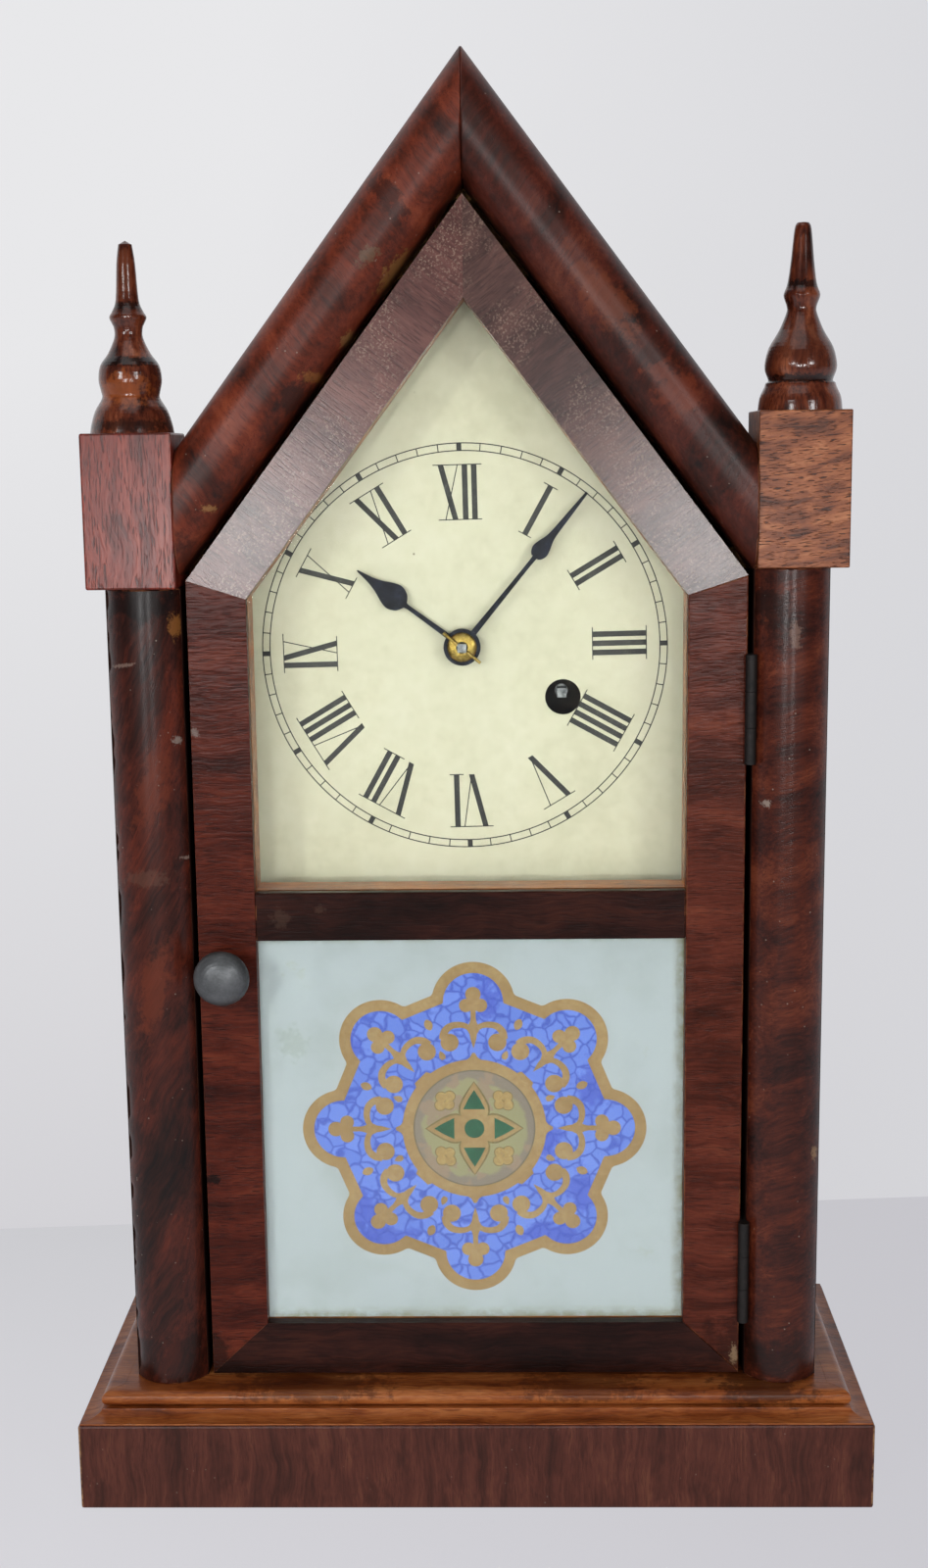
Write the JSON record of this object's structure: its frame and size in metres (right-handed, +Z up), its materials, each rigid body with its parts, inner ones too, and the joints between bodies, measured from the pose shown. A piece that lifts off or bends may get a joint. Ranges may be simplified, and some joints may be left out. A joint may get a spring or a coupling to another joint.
{
  "type": "steeple clock",
  "caption": "Pointed wooden mantel clock with a hinged glazed door, Roman dial, painted lower tablet, turned finials and a pendulum movement inside.",
  "frame": {"origin": "middle of the plinth's footprint, on the surface that it stands on", "axes": "+X to the viewer's right, -Y out of the dial, +Z up to the point of the gable"},
  "size_m": [0.286, 0.118, 0.5075],
  "materials": {
    "plinth_veneer": "figured walnut veneer under worn varnish",
    "moulding_walnut": "walnut moulding under worn varnish",
    "pine": "bare softwood, aged",
    "column_veneer": "figured walnut veneer, satin varnish",
    "block_walnut": "straight-grained walnut, satin varnish",
    "turned_walnut": "turned walnut, gloss varnish",
    "gable_walnut": "veneered half-round moulding, gloss varnish",
    "door_veneer": "cross-banded walnut veneer, satin varnish",
    "clear_glass": "old clear window glass",
    "painted_glass": "glass painted on its back with a coloured rosette",
    "painted_dial": "cream paint with black numerals, aged",
    "knob_pewter": "dull grey metal, worn",
    "blued_steel": "blued steel, dark",
    "steel": "drawn steel",
    "brass": "sheet and turned brass, lightly tarnished"
  },
  "bodies": {
    "case": {"plinth_front": "plinth_veneer", "plinth_sides": "plinth_veneer", "plinth_back": "pine", "glue_blocks": "pine", "base_board": "moulding_walnut", "base_moulding_front": "moulding_walnut", "base_moulding_left": "moulding_walnut", "base_moulding_right": "moulding_walnut", "side_boards": "pine", "front_posts": "pine", "column_left": "column_veneer", "column_right": "column_veneer", "block_left": "block_walnut", "block_right": "block_walnut", "finial_left": "turned_walnut", "finial_right": "turned_walnut", "roof_boards": "gable_walnut", "gable_moulding_left": "gable_walnut", "gable_moulding_right": "gable_walnut", "back_board": "pine", "dial_rails": "pine", "dial": "painted_dial", "dial_pins": "brass", "case_hinge_leaves": "brass", "front_plate": "brass", "back_plate": "brass", "movement_pillars": "steel", "movement_feet": "pine", "movement_screws": "steel", "mainspring": "steel", "suspension_post": "brass"},
    "door": {"door_stile_left": "door_veneer", "door_stile_right": "door_veneer", "door_rafter_left": "door_veneer", "door_rafter_right": "door_veneer", "door_bottom_rail": "door_veneer", "door_cross_rail": "door_veneer", "upper_glass": "clear_glass", "tablet_glass": "painted_glass", "glazing_strips": "moulding_walnut", "door_hinge_leaves": "brass"},
    "knob": {"door_knob": "knob_pewter", "latch_tongue": "brass"},
    "minute_arbor": {"centre_arbor": "steel", "minute_hand": "blued_steel", "hand_washer": "brass", "hand_pin": "brass"},
    "minute_wheel": {"minute_wheel": "brass"},
    "hour_wheel": {"hour_wheel": "brass", "hour_hand": "blued_steel"},
    "centre_wheel": {"centre_wheel": "brass"},
    "great_wheel": {"great_wheel": "brass", "click": "steel"},
    "winding_arbor": {"winding_arbor": "steel"},
    "third_wheel": {"third_wheel": "brass"},
    "escape_wheel": {"escape_wheel": "brass"},
    "verge": {"verge": "steel"},
    "pendulum": {"pendulum_rod": "brass", "pendulum_bob": "brass"}
  },
  "joints": [
    {"name": "door_swing", "type": "hinge", "parent": "case", "child": "door", "pos_m": [0.0975, -0.0405, 0.082], "axis": [0, 0, 1], "range_deg": [0, 110]},
    {"name": "knob_turn", "type": "hinge", "parent": "door", "child": "knob", "pos_m": [-0.087, -0.038, 0.1955], "axis": [0, 1, 0], "range_deg": [-90, 0]},
    {"name": "minute_turn", "type": "hinge", "parent": "case", "child": "minute_arbor", "pos_m": [-0.0022, 0.012, 0.3073], "axis": [0, 1, 0], "continuous": true},
    {"name": "minute_wheel_turn", "type": "hinge", "parent": "case", "child": "minute_wheel", "pos_m": [0.01053, 0.012, 0.29457], "axis": [0, 1, 0], "continuous": true},
    {"name": "hour_turn", "type": "hinge", "parent": "case", "child": "hour_wheel", "pos_m": [-0.0022, -0.008, 0.3073], "axis": [0, 1, 0], "continuous": true},
    {"name": "third_wheel_turn", "type": "hinge", "parent": "case", "child": "third_wheel", "pos_m": [-0.0269, 0.012, 0.32636], "axis": [0, 1, 0], "continuous": true},
    {"name": "centre_wheel_turn", "type": "hinge", "parent": "case", "child": "centre_wheel", "pos_m": [-0.0022, 0.017, 0.3073], "axis": [0, 1, 0], "continuous": true},
    {"name": "great_wheel_turn", "type": "hinge", "parent": "case", "child": "great_wheel", "pos_m": [0.0339, 0.017, 0.2884], "axis": [0, 1, 0], "continuous": true},
    {"name": "winding_turn", "type": "hinge", "parent": "great_wheel", "child": "winding_arbor", "pos_m": [0.0339, 0.012, 0.2884], "axis": [0, 1, 0], "continuous": true},
    {"name": "escape_wheel_turn", "type": "hinge", "parent": "case", "child": "escape_wheel", "pos_m": [-0.0112, 0.012, 0.3433], "axis": [0, 1, 0], "continuous": true},
    {"name": "pendulum_swing", "type": "hinge", "parent": "case", "child": "pendulum", "pos_m": [-0.0112, 0.0028, 0.3718], "axis": [0, 1, 0], "range_deg": [-3.5, 3.5]},
    {"name": "verge_swing", "type": "hinge", "parent": "case", "child": "verge", "pos_m": [-0.0112, 0.012, 0.3623], "axis": [0, 1, 0], "range_deg": [-5, 5]}
  ],
  "couplings": [
    {"joint": "minute_wheel_turn", "follows": "minute_turn", "ratio": -0.33333},
    {"joint": "hour_turn", "follows": "minute_turn", "ratio": 0.083333},
    {"joint": "centre_wheel_turn", "follows": "third_wheel_turn", "ratio": -0.083333},
    {"joint": "great_wheel_turn", "follows": "third_wheel_turn", "ratio": 0.0092593},
    {"joint": "escape_wheel_turn", "follows": "third_wheel_turn", "ratio": -10},
    {"joint": "verge_swing", "follows": "pendulum_swing", "ratio": 1.2568}
  ]
}
